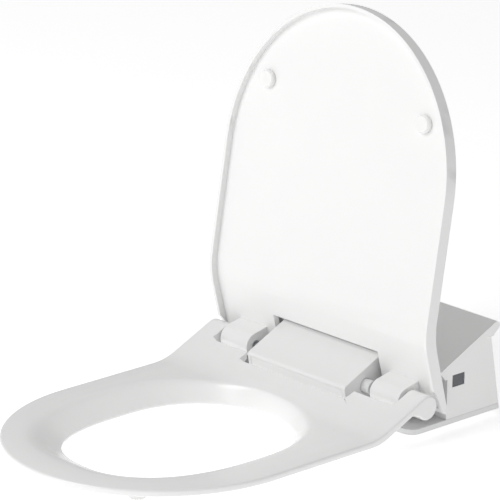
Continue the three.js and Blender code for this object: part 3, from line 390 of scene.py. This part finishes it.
def outerDistance(spec, x, y):
    # How far a point lies inside the seat's sides and nose.
    nose = spec["frontReach"] - spec["noseDepth"]
    if y > -nose:
        return max(spec["halfWidth"] - abs(x), 0.0)
    a, b = spec["halfWidth"], spec["noseDepth"]
    u, v = x / a, (y + nose) / b
    level = math.hypot(u, v)
    grade = math.hypot(u / a, v / b) / max(level, 1e-6)
    return max((1 - level) / max(grade, 1e-9), 0.0)


def ringTop(spec, x, y):
    # The ring's crowned upper face, running into the neck's ramp.
    share = min(outerDistance(spec, x, y) / spec["crownInset"], 1.0)
    dome = spec["edgeTop"] + spec["crownRise"] * math.sin(share * math.pi / 2)
    return smoothMax(dome, neckHeight(y), spec["rampBlend"][0])


def ringUnder(spec, y):
    return smoothMax(spec["edgeBottom"], neckHeight(y, -spec["neckThickness"]), spec["rampBlend"][1])


def seatOutline(spec, columns):
    # Outer stations: along the back from left to right, down the right side, round the nose and back up.
    nose = -(spec["frontReach"] - spec["noseDepth"])
    half, depth = spec["halfWidth"], spec["noseDepth"]
    back = [(x, spec["seam"]) for x in columns]
    noseSteps, sideSteps = spec["noseColumns"], spec["sideColumns"]
    bends = [-68, -72, -76, neckStart, -84, -89, -96, -106]
    sides = bends + [bends[-1] + (nose - bends[-1]) * k / sideSteps for k in range(1, sideSteps)]
    right = [(half, y) for y in sides]
    front = [(half * math.cos(math.pi * k / noseSteps), nose - depth * math.sin(math.pi * k / noseSteps))
             for k in range(noseSteps + 1)]
    left = [(-x, y) for x, y in reversed(right)]
    return back + right + front + left


def buildSeat(spec):
    bm = bmesh.new()
    half = spec["halfWidth"]
    notchX = spec["notch"][0]
    tabX = spec["tab"][0]
    quarter = [0, 12, 24, 36, 48, 60, 72, 82, notchX, 103, 114, 125, 136, 147, tabX, 164, 171, 178, half]
    columns = [-x for x in reversed(quarter[1:])] + quarter
    outline = seatOutline(spec, columns)
    centre = spec["hole"]["centre"]
    crest = spec["edgeTop"] + spec["crownRise"]
    lipLow, lipHigh = spec["lip"]
    flat = spec["lipFlat"]

    def angleOf(x, y):
        span = spec["frontReach"] + centre if y < centre else spec["seam"] - centre
        return math.atan2((y - centre) / span, x / half)

    wallRows, faceRows = spec["wallRows"], spec["faceRows"]
    wallShares = [k / wallRows for k in range(wallRows)]
    faceShares = [(k / faceRows) ** spec["faceBias"] for k in range(faceRows + 1)]
    top, bottom = [], []
    for zone, shares in (("wall", wallShares), ("face", faceShares)):
        for share in shares:
            upper, lower = [], []
            for x, y in outline:
                angle = angleOf(x, y)
                inner, outer = eggPoint(spec["hole"], angle), eggPoint(spec["funnelTop"], angle)
                outer.x = max(-half + 8, min(half - 8, outer.x))
                start, end = (inner, outer) if zone == "wall" else (outer, Vector((x, y)))
                px, py = start.lerp(end, share)
                face = ringTop(spec, px, py)
                rise = share
                if zone == "face":
                    rise = 1.0 + share * (end - start).length / (outer - inner).length
                wall = lipHigh + (crest + spec["crestOvershoot"] - lipHigh) * rise
                z = smoothMin(wall, face, spec["crestRound"]) if rise < spec["crestReach"] else face
                upper.append(bm.verts.new((px, py, z)))
                under = ringUnder(spec, py)
                if zone == "wall":
                    under = lipLow + (under - lipLow) * max(share - flat, 0.0) / (1 - flat)
                lower.append(bm.verts.new((px, py, min(under, z - spec["thinnest"]))))
            top.append(upper)
            bottom.append(lower)
    skin(bm, top, closed=True)
    skin(bm, list(reversed(bottom)), closed=True)
    skin(bm, [bottom[0], top[0]], closed=True)
    count = len(columns)
    outerTop, outerBottom = top[-1], bottom[-1]
    side = outerTop[count - 1:] + [outerTop[0]]
    sideLow = outerBottom[count - 1:] + [outerBottom[0]]
    skin(bm, [side, sideLow])
    buildNeck(bm, spec, columns, outerTop[:count], outerBottom[:count])
    bmesh.ops.recalc_face_normals(bm, faces=bm.faces)
    lipRing = set(top[0]) | set(bottom[0])

    def edgeOf(test):
        return lambda edge: sharper(40)(edge) and all(test(v) for v in edge.verts)

    roundEdges(bm, edgeOf(lambda v: v in lipRing), spec["holeRound"], 3)
    onRim = lambda p: outerDistance(spec, p.x, p.y) < 0.02 and p.z > 10
    roundEdges(bm, edgeOf(lambda v: onRim(v.co)), spec["edgeRound"], 4)
    inNotch = lambda p: p.y > spec["seam"] + 5 and abs(p.x) < half - 4
    roundEdges(bm, edgeOf(lambda v: inNotch(v.co)), spec["notchRound"], 3)
    return newObject("seatRing", bm, pressedUrea, 38, weighted=True)


def buildNeck(bm, spec, columns, topRow, lowRow):
    # The ramp behind the ring, its two tabs and the two hinge barrels, one strip for each pair of columns.
    notchX, notchY = spec["notch"]
    tabX, tabY = spec["tab"]
    cy, cz = spec["barrelCentre"]
    r = spec["barrelRadius"]
    under = lambda y: ringUnder(spec, y)
    steps = spec["barrelSteps"]
    topStops = [spec["seam"], -56, -49, notchY, -34, tabY, -18, -10, neckTangent[0]]
    lowStops = [spec["seam"], -54, notchY, -34, tabY, -22]
    wrapStart, wrapEnd = math.radians(90 + spec["ramp"]), math.radians(-145)
    wrap = [(cy + r * math.cos(t), cz + r * math.sin(t)) for t in
            (wrapStart + (wrapEnd - wrapStart) * k / steps for k in range(1, steps + 1))]
    cache = {}

    def vert(x, y, z, key):
        if key not in cache:
            cache[key] = bm.verts.new((x, y, z))
        return cache[key]

    def zoneOf(x0, x1):
        middle = abs(x0 + x1) / 2
        return 0 if middle < notchX else 1 if middle < tabX else 2

    ends = [topStops.index(notchY), topStops.index(tabY), len(topStops) - 1]
    lowEnds = [lowStops.index(notchY), lowStops.index(tabY), len(lowStops) - 1]

    def loop(i, zone):
        # The closed path round one column's section, from the ring's top back to the ring's underside.
        x = columns[i]
        path = [topRow[i]]
        for k in range(1, ends[zone] + 1):
            y = topStops[k]
            path.append(vert(x, y, neckHeight(y), ("t", i, k)))
        if zone == 2:
            for k, (y, z) in enumerate(wrap):
                path.append(vert(x, y, z, ("w", i, k)))
        for k in range(lowEnds[zone], 0, -1):
            y = lowStops[k]
            path.append(vert(x, y, under(y), ("l", i, k)))
        path.append(lowRow[i])
        return path

    for i in range(len(columns) - 1):
        zone = zoneOf(columns[i], columns[i + 1])
        skin(bm, [loop(i, zone), loop(i + 1, zone)])
    last = len(columns) - 1
    for i in (0, last):
        bm.faces.new(loop(i, 2))
    for i, x in enumerate(columns):
        if abs(abs(x) - notchX) < 1e-6:
            outer, inner = loop(i, 1), loop(i, 0)
        elif abs(abs(x) - tabX) < 1e-6:
            outer, inner = loop(i, 2), loop(i, 1)
        else:
            continue
        shared = set(inner)
        first = max(k for k in range(len(inner) // 2) if inner[k] in shared and outer[k] is inner[k])
        tail = max(k for k in range(1, len(inner) // 2 + 1) if outer[-k] is inner[-k])
        bm.faces.new(outer[first:len(outer) - tail + 1])


seatPiece = buildSeat(seat)
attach(seatPiece, "seat")
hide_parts("seat_ring")
print("stage: seat built,", len(seatPiece.data.polygons), "faces")

lid = {
    "rampBend": 18.0,  # how softly the panel turns into the ramp
    "panelFillet": 6.0,  # hollow between the panel and the rim
    "rimRound": 1.7,
    "filletReach": 70.0,  # fillets stay this far from the hinge line
}


def alongX(edge):
    run = edge.verts[1].co - edge.verts[0].co
    return abs(run.x) > 0.98 * run.length


def buildLid(spec):
    # The CAD lid with its ramp bent softly, its panel run up to the rim in a hollow, and its rim rounded.
    bm = fromCad("lid_shell", 0)
    axis = Vector((0, 0, hingeHeight))
    reach = lambda v: math.hypot(v.co.y - axis.y, v.co.z - axis.z)
    shallow = lambda edge: math.radians(12) < edge.calc_face_angle(0) < math.radians(40)
    far = lambda edge: all(reach(v) > spec["filletReach"] for v in edge.verts)
    roundEdges(bm, lambda edge: alongX(edge) and shallow(edge) and far(edge), spec["rampBend"], 6)
    inward = lambda edge: not edge.is_convex and sharper(60)(edge) and far(edge)
    roundEdges(bm, inward, spec["panelFillet"], 6)
    roundEdges(bm, lambda edge: edge.is_convex and sharper(50)(edge), spec["rimRound"], 4)
    return newObject("lidPanel", bm, pressedUrea, 40, weighted=True)


lidPiece = buildLid(lid)
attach(lidPiece, "lid")
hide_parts("lid_shell")
print("stage: lid built,", len(lidPiece.data.polygons), "faces")

# The casings, each a rounded copy of its CAD piece.
casings = {
    "housing_shell": ("housingShell", mouldedAbs, 1.2),
    "top_cover": ("topCover", mouldedAbs, 1.8),
    "block_cover": ("blockCover", mouldedAbs, 1.6),
    "nozzle_flap": ("nozzleFlap", mouldedAbs, 0.5),
    "base_plate": ("basePlate", etchedAbs, 1.0),
    "release_button": ("releaseButton", mouldedAbs, 0.8),
    "sensor_window": ("sensorWindow", smokedPolycarbonate, 0.4),
    "power_rocker": ("powerRocker", filledNylon, 0.6),
    "mounting_plate": ("mountingPlate", mouldedAcetal, 0.6),
}
for node, (name, material, width) in casings.items():
    dress(node, name, material, width)
print("stage: casings rounded")

# The return spring, a copy of its CAD piece without rounding, given a mesh of its own.
spring = dress("button_spring", "returnSpring", drawnWire, 0)
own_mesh(spring)


def newTree(name, inputs):
    # A Geometry Nodes tree with named inputs, each with its default.
    tree = bpy.data.node_groups.new(name, "GeometryNodeTree")
    for label, (kind, value) in inputs.items():
        tree.interface.new_socket(name=label, in_out="INPUT", socket_type=kind).default_value = value
    tree.interface.new_socket(name="Geometry", in_out="OUTPUT", socket_type="NodeSocketGeometry")
    return tree, tree.nodes.new("NodeGroupInput"), tree.nodes.new("NodeGroupOutput")


def grown(name, tree, values, body):
    # Evaluates a tree once and keeps the result as a plain mesh.
    obj = bpy.data.objects.new(name, bpy.data.meshes.new(name))
    bpy.context.scene.collection.objects.link(obj)
    modifier = obj.modifiers.new("nodes", "NODES")
    modifier.node_group = tree
    for item in tree.interface.items_tree:
        if item.in_out == "INPUT" and item.name in values:
            modifier[item.identifier] = values[item.name]
    graph = bpy.context.evaluated_depsgraph_get()
    mesh = bpy.data.meshes.new_from_object(obj.evaluated_get(graph))
    obj.modifiers.remove(modifier)
    mesh.name = name
    for face in mesh.polygons:
        face.use_smooth = True
    obj.data = mesh
    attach(obj, body)
    return obj


inletLow, inletHigh = box("water_inlet")
thread = {
    "pitch": 1.814,  # half-inch pipe thread
    "turns": 3.2,
    "coreRadius": 10.35,
    "ridge": 0.42,
    "end": inletHigh.y - 0.9,
}


def threadTree(material):
    tree, source, sink = newTree("pipeThread", {
        "Turns": ("NodeSocketFloat", 3.0), "Pitch": ("NodeSocketFloat", 0.0018),
        "Core": ("NodeSocketFloat", 0.01), "Ridge": ("NodeSocketFloat", 0.0004),
        "Start": ("NodeSocketVector", (0, 0, 0))})
    rise = addNode(tree, "ShaderNodeMath", {0: source.outputs["Turns"], 1: source.outputs["Pitch"]},
                   operation="MULTIPLY")
    helix = addNode(tree, "GeometryNodeCurveSpiral", {
        "Resolution": 40, "Rotations": source.outputs["Turns"], "Start Radius": source.outputs["Core"],
        "End Radius": source.outputs["Core"], "Height": rise.outputs[0]})
    ridge = addNode(tree, "GeometryNodeCurvePrimitiveCircle", {
        "Resolution": 8, "Radius": source.outputs["Ridge"]})
    wound = addNode(tree, "GeometryNodeCurveToMesh", {
        "Curve": helix.outputs[0], "Profile Curve": ridge.outputs[0], "Fill Caps": True})
    laid = addNode(tree, "GeometryNodeTransform", {
        "Geometry": wound.outputs[0], "Translation": source.outputs["Start"],
        "Rotation": (-math.pi / 2, 0, 0)})
    whole = addNode(tree, "GeometryNodeRealizeInstances", {"Geometry": laid.outputs[0]})
    done = addNode(tree, "GeometryNodeSetMaterial", {"Geometry": whole.outputs[0], "Material": material})
    tree.links.new(done.outputs[0], sink.inputs[0])
    return tree


inletCentre = (inletLow + inletHigh) / 2
start = (inletCentre.x * mm, (thread["end"] - thread["turns"] * thread["pitch"]) * mm, inletCentre.z * mm)
grown("inletThread", threadTree(turnedBrass), {
    "Turns": thread["turns"], "Pitch": thread["pitch"] * mm, "Core": thread["coreRadius"] * mm,
    "Ridge": thread["ridge"] * mm, "Start": start}, "unit")

buttonLow, buttonHigh = box("release_button")
grip = {
    "ribs": 6,
    "spacing": 2.6,
    "size": (0.7, 0.6, 3.4),  # half sizes out of the face, along the housing and upwards
}


def gripTree(material):
    tree, source, sink = newTree("gripRibs", {
        "Ribs": ("NodeSocketInt", 5), "Spacing": ("NodeSocketFloat", 0.0026),
        "Start": ("NodeSocketVector", (0, 0, 0)), "Size": ("NodeSocketVector", (1, 1, 1))})
    step = addNode(tree, "ShaderNodeCombineXYZ", {"Y": source.outputs["Spacing"]})
    row = addNode(tree, "GeometryNodeMeshLine", {
        "Count": source.outputs["Ribs"], "Start Location": source.outputs["Start"],
        "Offset": step.outputs[0]})
    rib = addNode(tree, "GeometryNodeMeshUVSphere", {"Segments": 16, "Rings": 12, "Radius": 1.0})
    placed = addNode(tree, "GeometryNodeInstanceOnPoints", {
        "Points": row.outputs[0], "Instance": rib.outputs[0], "Scale": source.outputs["Size"]})
    whole = addNode(tree, "GeometryNodeRealizeInstances", {"Geometry": placed.outputs[0]})
    done = addNode(tree, "GeometryNodeSetMaterial", {"Geometry": whole.outputs[0], "Material": material})
    tree.links.new(done.outputs[0], sink.inputs[0])
    return tree


buttonMiddle = (buttonLow + buttonHigh) / 2
firstRib = buttonMiddle.y - (grip["ribs"] - 1) * grip["spacing"] / 2
grown("buttonRibs", gripTree(mouldedAbs), {
    "Ribs": grip["ribs"], "Spacing": grip["spacing"] * mm,
    "Start": (buttonLow.x * mm, firstRib * mm, buttonMiddle.z * mm),
    "Size": tuple(v * mm for v in grip["size"])}, "button")
print("stage: thread and ribs grown")

rest = {
    mouldedSilicone: ["seat_bumper_front_left", "seat_bumper_front_right", "seat_bumper_rear_left",
                      "seat_bumper_rear_right", "lid_bumper_left", "lid_bumper_right", "wand_seal",
                      "foot_front_left", "foot_front_right", "foot_rear_left", "foot_rear_right"],
    groundSteel: ["seat_hinge_pin", "lid_hinge_pin"],
    turnedSteel: ["nozzle_head", "wand_feed_tube", "inlet_filter", "base_screw_1", "base_screw_2",
                  "base_screw_3", "base_screw_4"],
    mouldedAcetal: ["seat_hinge_bush", "lid_hinge_bush", "button_guide", "wand_pinion", "wand_cradle",
                    "water_heater"],
    turnedAcetal: ["lid_damper", "seat_damper"],
    filledNylon: ["switch_frame", "wand_motor", "pump", "mains_gland", "power_pack"],
    turnedBrass: ["water_inlet"],
    lacqueredBoard: ["control_board"],
    extrudedSilicone: ["hose_valve_pump", "hose_pump_heater", "hose_heater_wand"],
    etchedAbs: ["wand_tube", "solenoid_valve"],
}
for material, nodes in rest.items():
    for node in nodes:
        mesh = frame["nodes"][node].data
        mesh.materials.clear()
        mesh.materials.append(material)
print("stage: carried pieces finished")
